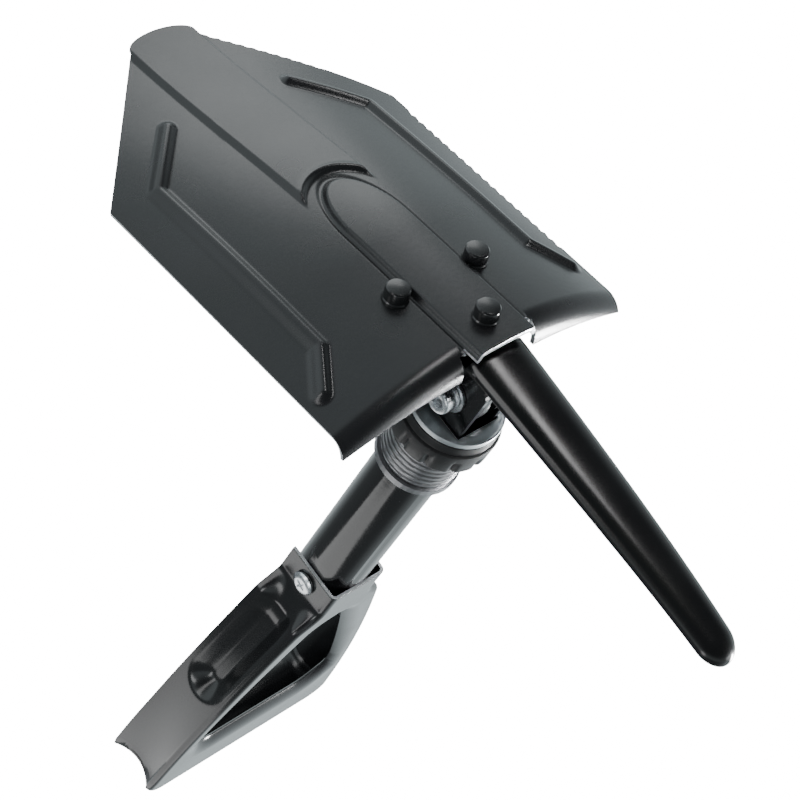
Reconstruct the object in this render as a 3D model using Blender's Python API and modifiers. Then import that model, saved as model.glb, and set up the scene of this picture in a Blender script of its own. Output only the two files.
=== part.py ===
"""Camp shovel with a folding blade, a pick and a folding D-grip, as an assembly of separate pieces.

Frame: +Z runs up the shaft to the head, +Y is the way the blade points when it is set as a hoe,
+X is the saw-toothed side. The origin is the middle of the flat end of the D-grip.
Lengths below are in millimetres and are turned into metres where the meshes are made.
"""

import math

import bmesh
import bpy
from mathutils import Matrix, Vector

MM = 0.001
GAP = 0.3  # clearance between two pieces that touch

# Heights up the shaft
PIN_Z = 326.0  # hinge bolt of the head above the end of the grip
GRIP_PIVOT_Z = 167.5  # bolt of the D-grip
GRIP_TOP_Z = 177.0  # top edge of the D-grip's cheeks

# Head angle
BLADE_DROP = 12.5  # degrees that the blade dips below square to the shaft

# Blade, in its own u (across), v (along), w (up) axes from the hinge bolt
BLADE_HALF_WIDTH = 76.0
BLADE_SHEET = 2.0
BLADE_BASE_V = -7.0
BLADE_SHOULDER_V = 134.0
BLADE_TIP_V = 199.0
BLADE_END_V = 205.5
BLADE_TIP_HALF = 17.0
BLADE_EDGE_W = 12.0
DISH_BASE = 18.5  # how far the middle of the blade stands above its edges
DISH_TIP = 8.0
RIB_HALF = 15.5  # raised tongue and channel on the middle line
RIB_RISE = 2.0
FLANGE_DEPTH = 8.0
TOOTH_PITCH = 5.6
TOOTH_DEPTH = 1.4
TOOTH_COUNT = 17
TOOTH_START_V = 29.0
RIVET_V = 33.0
RIVET_U = 21.4
RIVET_FRONT_V = 5.0
RIVET_HEAD_R = 5.2
RIVET_HEAD_H = 7.0

# Pick
PICK_SHEET = 2.2
PICK_START_Y = 0.2
PICK_END_Y = -145.0

# Stack of ears along the hinge bolt, each as (inner face, outer face)
BUSHING_HALF = 2.6
BLADE_EAR = (2.9, 5.1)
PICK_EAR = (5.5, 7.9)
YOKE_CHEEK = (8.3, 10.9)
CAM_R = 13.0
BOLT_R = 4.0

# Shaft
TUBE_R = 15.0
TUBE_WALL = 1.5
TUBE_TOP = PIN_Z - 27.3
SLEEVE_R = 17.4
FLAT_X = 14.05  # flats on the end of the tube, where the grip's cheeks run
FLAT_Y = 14.3
TUBE_END_ROUND = 14.0

# Collar under the head
DISC_TOP = PIN_Z - 14.1
DISC_R = 20.5
DISC_PLATE = 2.2
NUT_R = 22.4
NUT_STEP_R = 20.9

# D-grip
GRIP_SHEET = 1.5
GRIP_TOP_HALF = 15.85
GRIP_END_HALF = 58.5
GRIP_BACK_Y = -16.0
GRIP_FRONT_Y = 14.0
GRIP_CORNER = 12.0
GRIP_BAR = 36.0  # height of the back strip along the hand bar
GRIP_BAR_CORNER = 13.0
CHEEK_LOW_Z = 162.0  # the cheeks beside the bolt are flat down to here, then the arms flare out
FLARE_END_Z = 150.0
WINDOW_TOP_Z = 149.0
RECESS_DEPTH = 6.0  # pressed recess on the outside of each arm
RECESS_END_Z = 84.0
RECESS_Y = (-11.5, 10.0)
GRIP_BOLT_R = 3.0

SIDES = 40


# ---------------------------------------------------------------- scene and materials

def clear_scene():
    for item in list(bpy.data.objects):
        bpy.data.objects.remove(item, do_unlink=True)


def make_collection(name):
    collection = bpy.data.collections.new(name)
    bpy.context.scene.collection.children.link(collection)
    return collection


def make_material(name, colour, roughness, metallic):
    material = bpy.data.materials.new(name)
    material.use_nodes = True
    shader = material.node_tree.nodes["Principled BSDF"]
    shader.inputs["Base Color"].default_value = (*colour, 1.0)
    shader.inputs["Roughness"].default_value = roughness
    shader.inputs["Metallic"].default_value = metallic
    return material


def make_materials():
    return {
        "powder": make_material("black_powder_coat", (0.018, 0.019, 0.021), 0.35, 0.0),
        "gloss": make_material("black_gloss_coat", (0.010, 0.010, 0.011), 0.18, 0.0),
        "plastic": make_material("black_plastic", (0.015, 0.015, 0.016), 0.45, 0.0),
        "zinc": make_material("zinc_plate", (0.55, 0.56, 0.58), 0.25, 1.0),
        "steel": make_material("plain_steel", (0.45, 0.45, 0.46), 0.35, 1.0),
    }


clear_scene()
PARTS = make_collection("camp_shovel")
CUTTERS = make_collection("camp_shovel_cutters")
MATERIALS = make_materials()


# ---------------------------------------------------------------- small tools

def adopt(item, name, collection=PARTS):
    """Name an object and move it to one of the model's two collections."""
    for owner in list(item.users_collection):
        owner.objects.unlink(item)
    collection.objects.link(item)
    item.name = name
    item.data.name = name
    return item


def finish(item, material, parent, angle=35.0):
    """Give a piece its material and smooth round faces, and hang it on its body's empty."""
    item.data.materials.clear()
    item.data.materials.append(MATERIALS[material])
    item.data.shade_smooth()
    item.data.set_sharp_from_angle(angle=math.radians(angle))
    world = item.matrix_world.copy()
    item.parent = parent
    item.matrix_parent_inverse = parent.matrix_world.inverted()
    item.matrix_world = world
    return item


def body_empty(name, height, tilt=0.0):
    empty = bpy.data.objects.new(name, None)
    PARTS.objects.link(empty)
    empty.location = (0.0, 0.0, height * MM)
    empty.rotation_euler = (math.radians(tilt), 0.0, 0.0)
    bpy.context.view_layer.update()
    return empty


def apply_modifiers(item):
    bpy.context.view_layer.update()
    graph = bpy.context.evaluated_depsgraph_get()
    mesh = bpy.data.meshes.new_from_object(item.evaluated_get(graph))
    item.modifiers.clear()
    item.data = mesh
    return item


def cylinder(name, radius, start, end, centre=(0.0, 0.0), axis="Z", sides=SIDES, collection=PARTS):
    """A solid cylinder between two stations on one axis; centre is its place on the other two."""
    middle = (start + end) / 2.0
    if axis == "Z":
        place, turn = (centre[0], centre[1], middle), (0.0, 0.0, 0.0)
    elif axis == "X":
        place, turn = (middle, centre[0], centre[1]), (0.0, math.pi / 2.0, 0.0)
    else:
        place, turn = (centre[0], middle, centre[1]), (math.pi / 2.0, 0.0, 0.0)
    bpy.ops.mesh.primitive_cylinder_add(
        vertices=sides,
        radius=radius * MM,
        depth=abs(end - start) * MM,
        location=Vector(place) * MM,
        rotation=turn,
    )
    return adopt(bpy.context.object, name, collection)


def box(name, low, high, collection=PARTS):
    centre = [(a + b) / 2.0 * MM for a, b in zip(low, high)]
    bpy.ops.mesh.primitive_cube_add(size=1.0, location=centre)
    item = bpy.context.object
    item.scale = [(b - a) * MM for a, b in zip(low, high)]
    bpy.ops.object.transform_apply(location=False, rotation=False, scale=True)
    return adopt(item, name, collection)


def combine(item, other, operation):
    """Join a helper solid to a piece, or cut it away, with an exact Boolean."""
    modifier = item.modifiers.new(operation.lower(), "BOOLEAN")
    modifier.operation = operation
    modifier.solver = "EXACT"
    modifier.object = other
    apply_modifiers(item)
    other.hide_render = True
    other.display_type = "WIRE"
    for owner in list(other.users_collection):
        owner.objects.unlink(other)
    CUTTERS.objects.link(other)
    return item


def turned(name, profile, axis="Z", place=(0.0, 0.0, 0.0), sides=SIDES):
    """A turned piece: (radius, height) points, outer side from top to bottom, closed to a ring or solid."""
    mesh = bpy.data.meshes.new(name)
    solid = profile[0][0] == 0.0
    points = [(r * MM, 0.0, h * MM) for r, h in profile]
    count = len(points)
    edges = [(i, i + 1) for i in range(count - 1)]
    if not solid:
        edges.append((count - 1, 0))
    mesh.from_pydata(points, edges, [])
    item = bpy.data.objects.new(name, mesh)
    PARTS.objects.link(item)
    screw = item.modifiers.new("turn", "SCREW")
    screw.steps = sides
    screw.render_steps = sides
    screw.use_merge_vertices = True
    screw.merge_threshold = 0.00001
    apply_modifiers(item)
    if axis == "X":
        item.data.transform(Matrix.Rotation(math.pi / 2.0, 4, "Y"))
    item.data.transform(Matrix.Translation(Vector(place) * MM))
    return item


def outline_solid(name, points, thickness, collection=PARTS):
    """A flat outline in its own XY plane, thickened evenly to both sides."""
    curve = bpy.data.curves.new(name, "CURVE")
    curve.dimensions = "2D"
    curve.fill_mode = "BOTH"
    curve.extrude = thickness / 2.0 * MM
    spline = curve.splines.new("POLY")
    spline.points.add(len(points) - 1)
    for target, (x, y) in zip(spline.points, points):
        target.co = (x * MM, y * MM, 0.0, 1.0)
    spline.use_cyclic_u = True
    draft = bpy.data.objects.new(name + "_outline", curve)
    collection.objects.link(draft)
    bpy.context.view_layer.update()
    graph = bpy.context.evaluated_depsgraph_get()
    mesh = bpy.data.meshes.new_from_object(draft.evaluated_get(graph))
    work = bmesh.new()
    work.from_mesh(mesh)
    bmesh.ops.remove_doubles(work, verts=work.verts, dist=0.000001)
    bmesh.ops.recalc_face_normals(work, faces=work.faces)
    work.to_mesh(mesh)
    work.free()
    item = bpy.data.objects.new(name, mesh)
    collection.objects.link(item)
    bpy.data.objects.remove(draft, do_unlink=True)
    return item


def stand_up(item, middle_x):
    """Turn an outline drawn as (y, z) to face along X and put its middle at middle_x."""
    turn = Matrix(((0.0, 0.0, 1.0, 0.0), (1.0, 0.0, 0.0, 0.0), (0.0, 1.0, 0.0, 0.0), (0.0, 0.0, 0.0, 1.0)))
    item.data.transform(Matrix.Translation((middle_x * MM, 0.0, 0.0)) @ turn)
    return item


def face_front(item, middle_y):
    """Turn an outline drawn as (x, z) to face along Y and put its middle at middle_y."""
    item.data.transform(Matrix.Translation((0.0, middle_y * MM, 0.0)) @ Matrix.Rotation(math.pi / 2.0, 4, "X"))
    return item


def arc(centre, radius, start, end, steps):
    """Points on an arc, with its angles in degrees."""
    angles = [math.radians(start + (end - start) * i / steps) for i in range(steps + 1)]
    return [(centre[0] + radius * math.cos(a), centre[1] + radius * math.sin(a)) for a in angles]


def sheet(name, rows, thickness, offset):
    """A sheet piece: rows of points joined to a surface and thickened with Solidify."""
    mesh = bpy.data.meshes.new(name)
    item = bpy.data.objects.new(name, mesh)
    PARTS.objects.link(item)
    work = bmesh.new()
    grid = [[work.verts.new(Vector(p) * MM) for p in row] for row in rows]
    for near, far in zip(grid, grid[1:]):
        for i in range(len(near) - 1):
            work.faces.new((near[i], near[i + 1], far[i + 1], far[i]))
    work.to_mesh(mesh)
    work.free()
    solid = item.modifiers.new("sheet", "SOLIDIFY")
    solid.thickness = thickness * MM
    solid.offset = offset
    solid.use_even_offset = True
    apply_modifiers(item)
    return item


# ---------------------------------------------------------------- blade

def blade_half_width(v):
    if v <= BLADE_SHOULDER_V:
        return BLADE_HALF_WIDTH
    if v <= BLADE_TIP_V:
        share = (v - BLADE_SHOULDER_V) / (BLADE_TIP_V - BLADE_SHOULDER_V)
        return BLADE_HALF_WIDTH + (BLADE_TIP_HALF - BLADE_HALF_WIDTH) * share
    share = (v - BLADE_TIP_V) / (BLADE_END_V - BLADE_TIP_V)
    return BLADE_TIP_HALF * math.sqrt(max(0.0, 1.0 - share * share) * 0.75 + 0.0625)


def dish(v):
    """Height of the blade's middle above its edges: deep at the base, shallower to the tip."""
    share = min(1.0, max(0.0, (v - 55.0) / (BLADE_END_V - 55.0)))
    ease = share * share * (3.0 - 2.0 * share)
    return DISH_BASE + (DISH_TIP - DISH_BASE) * ease


def blade_height(u, v):
    return BLADE_EDGE_W + dish(v) * (1.0 - (u / BLADE_HALF_WIDTH) ** 2)


def blade_stations():
    teeth = [TOOTH_START_V + TOOTH_PITCH * i for i in range(TOOTH_COUNT + 1)]
    tips = [v + 0.8 for v in teeth[:-1]]
    plain = [-1.0, 8.0, 18.0, BLADE_SHOULDER_V, 145.0, 157.0, 169.0, 181.0, 191.0, BLADE_TIP_V]
    end = [BLADE_TIP_V + (BLADE_END_V - BLADE_TIP_V) * s for s in (0.4, 0.75, 1.0)]
    return sorted(teeth + tips + plain + end)


def tooth_inset(v):
    """How far the saw edge lies inside the plain edge at a station: a slow ramp and a sharp step."""
    place = (v - TOOTH_START_V) / TOOTH_PITCH
    if place < 0.0 or place > TOOTH_COUNT:
        return 0.0
    share = place - math.floor(place + 1e-6)
    return 0.0 if share < 1e-3 else TOOTH_DEPTH * (1.0 - share)


def blade_columns(v):
    """Signed u stations across the blade, with close pairs at the raised rib's edges."""
    half = blade_half_width(v)
    inner = [0.0, RIB_HALF - 1.6, RIB_HALF]
    if half < RIB_HALF + 2.0:
        inner = [0.0, half * 0.6, half * 0.75]
    outer = [inner[-1] + (half - inner[-1]) * s for s in (0.12, 0.4, 0.7, 1.0)]
    left = [-u for u in reversed(inner[1:] + outer)]
    right = inner[1:] + outer
    right[-1] -= tooth_inset(v)
    return left + [0.0] + right


def rib_rise(u, v):
    """The channel and the tongue stand proud of the blade on its middle line."""
    if abs(u) > RIB_HALF - 1.0:
        return 0.0
    return RIB_RISE


def blade_rows():
    rows = []
    inner_edge = RIB_HALF + 0.5
    for drop, v in ((FLANGE_DEPTH, BLADE_BASE_V), (3.0, BLADE_BASE_V), (0.8, BLADE_BASE_V + 1.8)):
        row = []
        for u in blade_columns(0.0):
            share = (abs(u) - inner_edge) / (BLADE_HALF_WIDTH - inner_edge)
            depth = 0.0 if share < 0.0 else drop * (1.0 - 0.5 * share)
            station = v if share >= 0.0 else BLADE_BASE_V - 1.0 + 0.6 * (FLANGE_DEPTH - drop) / FLANGE_DEPTH
            row.append((u, station, blade_height(u, 0.0) + rib_rise(u, 0.0) - depth))
        rows.append(row)
    for v in blade_stations():
        rows.append([(u, v, blade_height(u, v) + rib_rise(u, v)) for u in blade_columns(v)])
    return rows


def make_blade(parent):
    item = sheet("blade", blade_rows(), BLADE_SHEET, -1.0)
    for u, v in ((-RIVET_U, RIVET_V), (RIVET_U, RIVET_V), (0.0, RIVET_FRONT_V)):
        cutter = cylinder("rivet_hole", 2.6, 18.0, 40.0, centre=(u, v), sides=12, collection=CUTTERS)
        combine(item, cutter, "DIFFERENCE")
    item.matrix_world = parent.matrix_world
    return finish(item, "powder", parent, 25.0)


def make_blade_bracket(parent):
    """Plate under the blade with two ears bent down to the hinge bolt."""
    plate_top = 25.6
    plate_low = 23.6
    corner = arc((0.0, 33.0), 27.0, -35.0, 35.0, 6)
    right = [(8.0, -4.0), (11.0, 10.0)] + corner + [(12.0, 52.0)]
    points = right + [(-u, v) for u, v in reversed(right)]
    plate = outline_solid("blade_bracket", points, plate_top - plate_low)
    plate.data.transform(Matrix.Translation((0.0, 0.0, (plate_top + plate_low) / 2.0 * MM)))
    ear = arc((0.0, 0.0), CAM_R, -205.0, 0.0, 16) + [(CAM_R, 24.6), (-3.0, 24.6)]
    for side in (-1.0, 1.0):
        middle = side * (BLADE_EAR[0] + BLADE_EAR[1]) / 2.0
        lug = stand_up(outline_solid("blade_ear", ear, BLADE_EAR[1] - BLADE_EAR[0], CUTTERS), middle)
        combine(plate, lug, "UNION")
    combine(plate, cylinder("bolt_bore", BOLT_R + GAP, -9.0, 9.0, axis="X", sides=20, collection=CUTTERS), "DIFFERENCE")
    for u, v in ((-RIVET_U, RIVET_V), (RIVET_U, RIVET_V), (0.0, RIVET_FRONT_V)):
        cutter = cylinder("rivet_hole", 2.6, 18.0, 40.0, centre=(u, v), sides=12, collection=CUTTERS)
        combine(plate, cutter, "DIFFERENCE")
    plate.matrix_world = parent.matrix_world
    return finish(plate, "powder", parent)


def make_blade_rivet(name, u, v, parent):
    """Cylindrical head on top, shank through both sheets, small closing head below."""
    seat = blade_height(u, v) + rib_rise(u, v) + GAP
    if abs(u) > RIB_HALF:
        seat = blade_height(abs(u) - RIVET_HEAD_R, v) + GAP
    top = seat + RIVET_HEAD_H
    tail = 23.6 - GAP
    profile = [
        (0.0, top),
        (RIVET_HEAD_R - 0.8, top),
        (RIVET_HEAD_R, top - 0.8),
        (RIVET_HEAD_R, seat),
        (2.2, seat),
        (2.2, tail),
        (2.5, tail),
        (2.5, tail - 1.0),
        (0.0, tail - 1.0),
    ]
    item = turned(name, profile, place=(u, v, 0.0), sides=24)
    item.matrix_world = parent.matrix_world
    return finish(item, "powder", parent)


# ---------------------------------------------------------------- pick

def pick_section(y):
    """Half width, top and edge height of the pick's channel at a station along its length."""
    share = (PICK_START_Y - y) / (PICK_START_Y - PICK_END_Y)
    half = 14.8 - 6.3 * share ** 1.25
    top = 26.7 + 0.6 * share - 4.6 * share ** 3
    edge = 20.6 + 0.6 * share - 4.6 * share ** 4
    if share > 0.93:
        close = math.sqrt(max(0.0, 1.0 - ((share - 0.93) / 0.07) ** 2))
        half *= 0.22 + 0.78 * close
    return half, top, edge


def pick_rows():
    shares = [0.0, 0.12, 0.26, 0.4, 0.54, 0.68, 0.8, 0.89, 0.94, 0.97, 0.99, 1.0]
    rows = []
    for share in shares:
        y = PICK_START_Y + (PICK_END_Y - PICK_START_Y) * share
        half, top, edge = pick_section(y)
        row = []
        for i in range(11):
            angle = math.pi * i / 10.0
            across = math.copysign(abs(math.cos(angle)) ** 0.85, math.cos(angle))
            up = math.sin(angle) ** 0.75 if 0 < i < 10 else 0.0
            row.append((half * across, y, edge + (top - edge) * up))
        rows.append(row)
    return rows


def make_pick(parent):
    item = sheet("pick", pick_rows(), PICK_SHEET, -1.0)
    item.matrix_world = parent.matrix_world
    return finish(item, "gloss", parent, 40.0)


def make_pick_bracket(parent):
    """Channel inside the root of the pick: a web under its top and two ears to the hinge bolt."""
    top = 23.2
    web = box("pick_bracket", (-PICK_EAR[1], -13.0, top - 2.2), (PICK_EAR[1], -3.0, top))
    ear = arc((0.0, 0.0), CAM_R, -180.0, 45.0, 16) + [(-3.0, 14.0), (-3.0, top - 0.4), (-13.0, top - 0.4)]
    for side in (-1.0, 1.0):
        middle = side * (PICK_EAR[0] + PICK_EAR[1]) / 2.0
        lug = stand_up(outline_solid("pick_ear", ear, PICK_EAR[1] - PICK_EAR[0], CUTTERS), middle)
        combine(web, lug, "UNION")
    combine(web, cylinder("bolt_bore", BOLT_R + GAP, -9.0, 9.0, axis="X", sides=20, collection=CUTTERS), "DIFFERENCE")
    web.matrix_world = parent.matrix_world @ web.matrix_world
    return finish(web, "powder", parent)


# ---------------------------------------------------------------- head of the shaft

def make_yoke(parent):
    """Plug in the tube, a round shoulder, and two square cheeks that carry the hinge bolt."""
    shoulder_top = PIN_Z - 23.0
    shoulder_low = PIN_Z - 27.0
    plug_low = PIN_Z - 62.0
    profile = [
        (0.0, shoulder_top),
        (17.0, shoulder_top),
        (17.0, shoulder_low),
        (13.2, shoulder_low),
        (13.2, plug_low + 1.0),
        (12.2, plug_low),
        (0.0, plug_low),
    ]
    item = turned("hinge_yoke", profile)
    low = PIN_Z - 25.0
    high = PIN_Z + 15.6
    round_r = 4.0
    cheek = [(-13.0, low), (13.0, low)]
    cheek += arc((13.0 - round_r, high - round_r), round_r, 0.0, 90.0, 4)
    cheek += arc((-13.0 + round_r, high - round_r), round_r, 90.0, 180.0, 4)
    for side in (-1.0, 1.0):
        middle = side * (YOKE_CHEEK[0] + YOKE_CHEEK[1]) / 2.0
        plate = stand_up(outline_solid("cheek", cheek, YOKE_CHEEK[1] - YOKE_CHEEK[0], CUTTERS), middle)
        combine(item, plate, "UNION")
    bore = cylinder("bolt_bore", BOLT_R + GAP, -14.0, 14.0, centre=(0.0, PIN_Z), axis="X", sides=20, collection=CUTTERS)
    combine(item, bore, "DIFFERENCE")
    pin = cylinder("pin_bore", 2.3, -20.0, 20.0, centre=(0.0, PIN_Z - 45.0), axis="Y", sides=16, collection=CUTTERS)
    combine(item, pin, "DIFFERENCE")
    return finish(item, "powder", parent)


def ring(name, outer, inner, start, end, axis="Z", place=(0.0, 0.0, 0.0), sides=SIDES):
    high = max(start, end)
    low = min(start, end)
    return turned(name, [(outer, high), (outer, low), (inner, low), (inner, high)], axis, place, sides)


def make_tube(parent):
    low = GRIP_PIVOT_Z - TUBE_END_ROUND - 2.0
    item = ring("shaft_tube", TUBE_R, TUBE_R - TUBE_WALL, TUBE_TOP, low)
    flat_top = GRIP_PIVOT_Z + 18.0
    for side in (-1.0, 1.0):
        edges = sorted((side * FLAT_X, side * (TUBE_R + 5.0)))
        cutter = box("tube_flat", (edges[0], -20.0, low - 5.0), (edges[1], 20.0, flat_top), CUTTERS)
        combine(item, cutter, "DIFFERENCE")
    back = box("tube_back_flat", (-20.0, -20.0, low - 5.0), (20.0, -FLAT_Y, GRIP_TOP_Z + 2.0), CUTTERS)
    combine(item, back, "DIFFERENCE")
    round_end = [(-20.0, low - 5.0), (20.0, low - 5.0), (20.0, GRIP_PIVOT_Z)]
    round_end += arc((0.0, GRIP_PIVOT_Z), TUBE_END_ROUND, 0.0, -180.0, 16) + [(-20.0, GRIP_PIVOT_Z)]
    rounder = stand_up(outline_solid("tube_rounder", round_end, 60.0, CUTTERS), 0.0)
    combine(item, rounder, "DIFFERENCE")
    bore = cylinder("bolt_bore", 4.3, -20.0, 20.0, centre=(0.0, GRIP_PIVOT_Z), axis="X", sides=20, collection=CUTTERS)
    combine(item, bore, "DIFFERENCE")
    pin = cylinder("pin_bore", 2.3, -20.0, 20.0, centre=(0.0, PIN_Z - 45.0), axis="Y", sides=16, collection=CUTTERS)
    combine(item, pin, "DIFFERENCE")
    return finish(item, "gloss", parent)


def make_sleeve(parent):
    """Threaded sleeve on the tube, with its thread shown as turned grooves."""
    top = TUBE_TOP
    low = PIN_Z - 54.0
    pitch = 3.0
    profile = [(SLEEVE_R - 1.0, top)]
    height = top - 1.0
    while height - pitch > low + 1.0:
        profile += [(SLEEVE_R, height), (SLEEVE_R, height - 0.9), (SLEEVE_R - 1.0, height - 1.6)]
        profile += [(SLEEVE_R - 1.0, height - 2.4)]
        height -= pitch
    profile += [(SLEEVE_R, height), (SLEEVE_R, low), (TUBE_R + GAP, low), (TUBE_R + GAP, top)]
    return finish(turned("threaded_sleeve", profile, sides=28), "steel", parent)


def make_disc(parent):
    """Plated pressure disc with a raised rim and a square opening for the cheeks."""
    low = DISC_TOP - DISC_PLATE
    rim = 0.7
    profile = [
        (DISC_R - 1.2, DISC_TOP),
        (DISC_R - 0.9, DISC_TOP + rim),
        (DISC_R - 0.2, DISC_TOP + rim),
        (DISC_R, DISC_TOP + rim - 0.3),
        (DISC_R, low),
        (0.0, low),
    ]
    item = turned("pressure_disc", [(0.0, DISC_TOP)] + profile, sides=48)
    window = box("disc_window", (-11.3, -13.4, low - 2.0), (11.3, 13.4, DISC_TOP + 2.0), CUTTERS)
    combine(item, window, "DIFFERENCE")
    return finish(item, "zinc", parent)


def make_nut(parent):
    """Hand nut under the disc: a plain upper ring and a wider, finger-notched lower ring."""
    top = DISC_TOP - DISC_PLATE - GAP
    bore = SLEEVE_R + 0.4
    profile = [
        (NUT_STEP_R - 0.6, top),
        (NUT_STEP_R, top - 0.6),
        (NUT_STEP_R, top - 4.0),
        (NUT_R - 0.8, top - 4.4),
        (NUT_R, top - 5.2),
        (NUT_R, top - 15.0),
        (NUT_R - 1.0, top - 16.0),
        (bore, top - 16.0),
        (bore, top),
    ]
    item = turned("lock_nut", profile, sides=48)
    notches = 12
    for i in range(notches):
        angle = 2.0 * math.pi * (i + 0.5) / notches
        centre = ((NUT_R + 1.1) * math.cos(angle), (NUT_R + 1.1) * math.sin(angle))
        cutter = cylinder("nut_notch", 1.7, top - 20.0, top - 6.4, centre=centre, sides=10, collection=CUTTERS)
        combine(item, cutter, "DIFFERENCE")
    return finish(item, "plastic", parent)


def make_hinge_bolt(parent):
    """Barrel head on the plain side, shank through the ears, thread under the nut."""
    head_face = -19.5
    head_seat = -12.7
    end = 18.5
    profile = [
        (0.0, head_face),
        (5.0, head_face),
        (5.7, head_face + 0.7),
        (5.7, head_seat),
        (BOLT_R, head_seat),
        (BOLT_R, end - 0.8),
        (BOLT_R - 0.8, end),
        (0.0, end),
    ]
    profile = [(r, -h) for r, h in profile]
    item = turned("hinge_bolt", profile, sides=28)
    item.data.transform(Matrix.Rotation(-math.pi / 2.0, 4, "Y"))
    item.data.transform(Matrix.Translation((0.0, 0.0, PIN_Z * MM)))
    socket = cylinder("socket", 2.6, -25.0, head_face + 2.6, centre=(0.0, PIN_Z), axis="X", sides=6, collection=CUTTERS)
    combine(item, socket, "DIFFERENCE")
    return finish(item, "zinc", parent)


def hex_nut(name, start, end, height, across, bore, parent):
    item = cylinder(name, across / math.sqrt(3.0), start, end, centre=(0.0, height), axis="X", sides=6)
    hole = cylinder("nut_bore", bore, start - 2.0, end + 2.0, centre=(0.0, height), axis="X", sides=20, collection=CUTTERS)
    combine(item, hole, "DIFFERENCE")
    return finish(item, "zinc", parent)


def make_head_fasteners(parent):
    bore = BOLT_R + GAP
    for name, start in (("hinge_washer_left", -12.4), ("hinge_washer_right", 11.2)):
        finish(ring(name, 7.4, bore, start, start + 1.2, "X", (0.0, 0.0, PIN_Z), 28), "zinc", parent)
    finish(ring("hinge_bushing", 6.6, bore, -BUSHING_HALF, BUSHING_HALF, "X", (0.0, 0.0, PIN_Z), 28), "steel", parent)
    hex_nut("hinge_nut", 12.7, 17.7, PIN_Z, 13.0, bore, parent)


# ---------------------------------------------------------------- D-grip

def grip_half_width(z):
    """Outside of the grip from its middle line: flat cheeks, a quick flare, then a long curve to the bar."""
    share = max(0.0, (GRIP_TOP_Z - z) / GRIP_TOP_Z)
    curve = (GRIP_END_HALF - GRIP_TOP_HALF) * (1.0 - (1.0 - share) ** 1.6)
    flare = min(1.0, max(0.0, (CHEEK_LOW_Z - z) / (CHEEK_LOW_Z - FLARE_END_Z)))
    return GRIP_TOP_HALF + curve * flare * flare * (3.0 - 2.0 * flare)


def window_half_width(z):
    """Half the window in the back of the grip: it is widest at the bar and closes towards the bolt."""
    share = min(1.0, max(0.0, (z - 60.0) / 80.0))
    return grip_half_width(z) - 12.0 - 8.0 * share


def grip_side(inset, top, low):
    """Right-hand outline from the top down and round the lower corner, moved in by inset."""
    radius = GRIP_CORNER - inset
    corner_x = GRIP_END_HALF - GRIP_CORNER
    corner_z = GRIP_CORNER + low
    heights = [CHEEK_LOW_Z, 158.5, 154.5, FLARE_END_Z, 135.0, 115.0, 95.0, 75.0, 55.0, 38.0, corner_z + 8.0]
    side = [(GRIP_TOP_HALF - inset, top)]
    side += [(grip_half_width(z) - inset, z) for z in heights]
    return side + arc((corner_x, corner_z), radius, 0.0, -90.0, 5)


def recess_floor(z):
    """Outside of the pressed recess: upright beside the bolt, then in line with the arm."""
    upright = 160.0
    joined = 143.0
    if z >= upright:
        return GRIP_TOP_HALF
    low = grip_half_width(joined) - RECESS_DEPTH
    if z >= joined:
        return GRIP_TOP_HALF + (low - GRIP_TOP_HALF) * (upright - z) / (upright - joined)
    return grip_half_width(z) - RECESS_DEPTH


def recess_strip(name, side, inner, outer, low, high, faces):
    """Solid between two offsets of the recess floor and the arm's outside, seen from the front."""
    heights = [high, 160.0, 156.5, 153.0, FLARE_END_Z, 143.0, 125.0, 105.0, low]
    near = [(side * (recess_floor(z) + inner), z) for z in heights]
    far = [(side * (max(recess_floor(z), grip_half_width(z)) + outer), z) for z in reversed(heights)]
    strip = outline_solid(name, near + far, faces[1] - faces[0], CUTTERS)
    return face_front(strip, (faces[0] + faces[1]) / 2.0)


def press_recess(item, side):
    wall = GRIP_SHEET
    core = (RECESS_Y[0] - wall, RECESS_Y[1] + wall)
    combine(item, recess_strip("recess_core", side, -wall, -0.3, RECESS_END_Z - wall, CHEEK_LOW_Z, core), "UNION")
    cut = recess_strip("recess_cut", side, 0.0, 6.0, RECESS_END_Z, CHEEK_LOW_Z - 1.0, RECESS_Y)
    combine(item, cut, "DIFFERENCE")


def mirrored(points):
    return points + [(-x, z) for x, z in reversed(points)]


def make_grip(parent):
    """One pressed sheet: a back with a window, and a deep wall all round except at the top."""
    depth = GRIP_FRONT_Y - GRIP_BACK_Y
    item = outline_solid("grip_frame", mirrored(grip_side(0.0, GRIP_TOP_Z, 0.0)), depth)
    face_front(item, (GRIP_FRONT_Y + GRIP_BACK_Y) / 2.0)
    hollow = outline_solid("grip_hollow", mirrored(grip_side(GRIP_SHEET, GRIP_TOP_Z + 10.0, 0.0)), depth, CUTTERS)
    face_front(hollow, (GRIP_FRONT_Y + GRIP_BACK_Y) / 2.0 + GRIP_SHEET)
    combine(item, hollow, "DIFFERENCE")
    side = [(3.0, WINDOW_TOP_Z)]
    side += [(window_half_width(z), z) for z in (144.0, 135.0, 115.0, 95.0, 75.0)]
    corner = GRIP_BAR_CORNER
    side += arc((window_half_width(GRIP_BAR + corner) - corner, GRIP_BAR + corner), corner, 0.0, -90.0, 5)
    window = outline_solid("grip_window", mirrored(side), 30.0, CUTTERS)
    face_front(window, GRIP_BACK_Y)
    combine(item, window, "DIFFERENCE")
    for edge in (-1.0, 1.0):
        press_recess(item, edge)
    hole = cylinder("bolt_bore", GRIP_BOLT_R + GAP, -20.0, 20.0, (0.0, GRIP_PIVOT_Z), "X", 20, CUTTERS)
    combine(item, hole, "DIFFERENCE")
    return finish(item, "gloss", parent)


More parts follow.
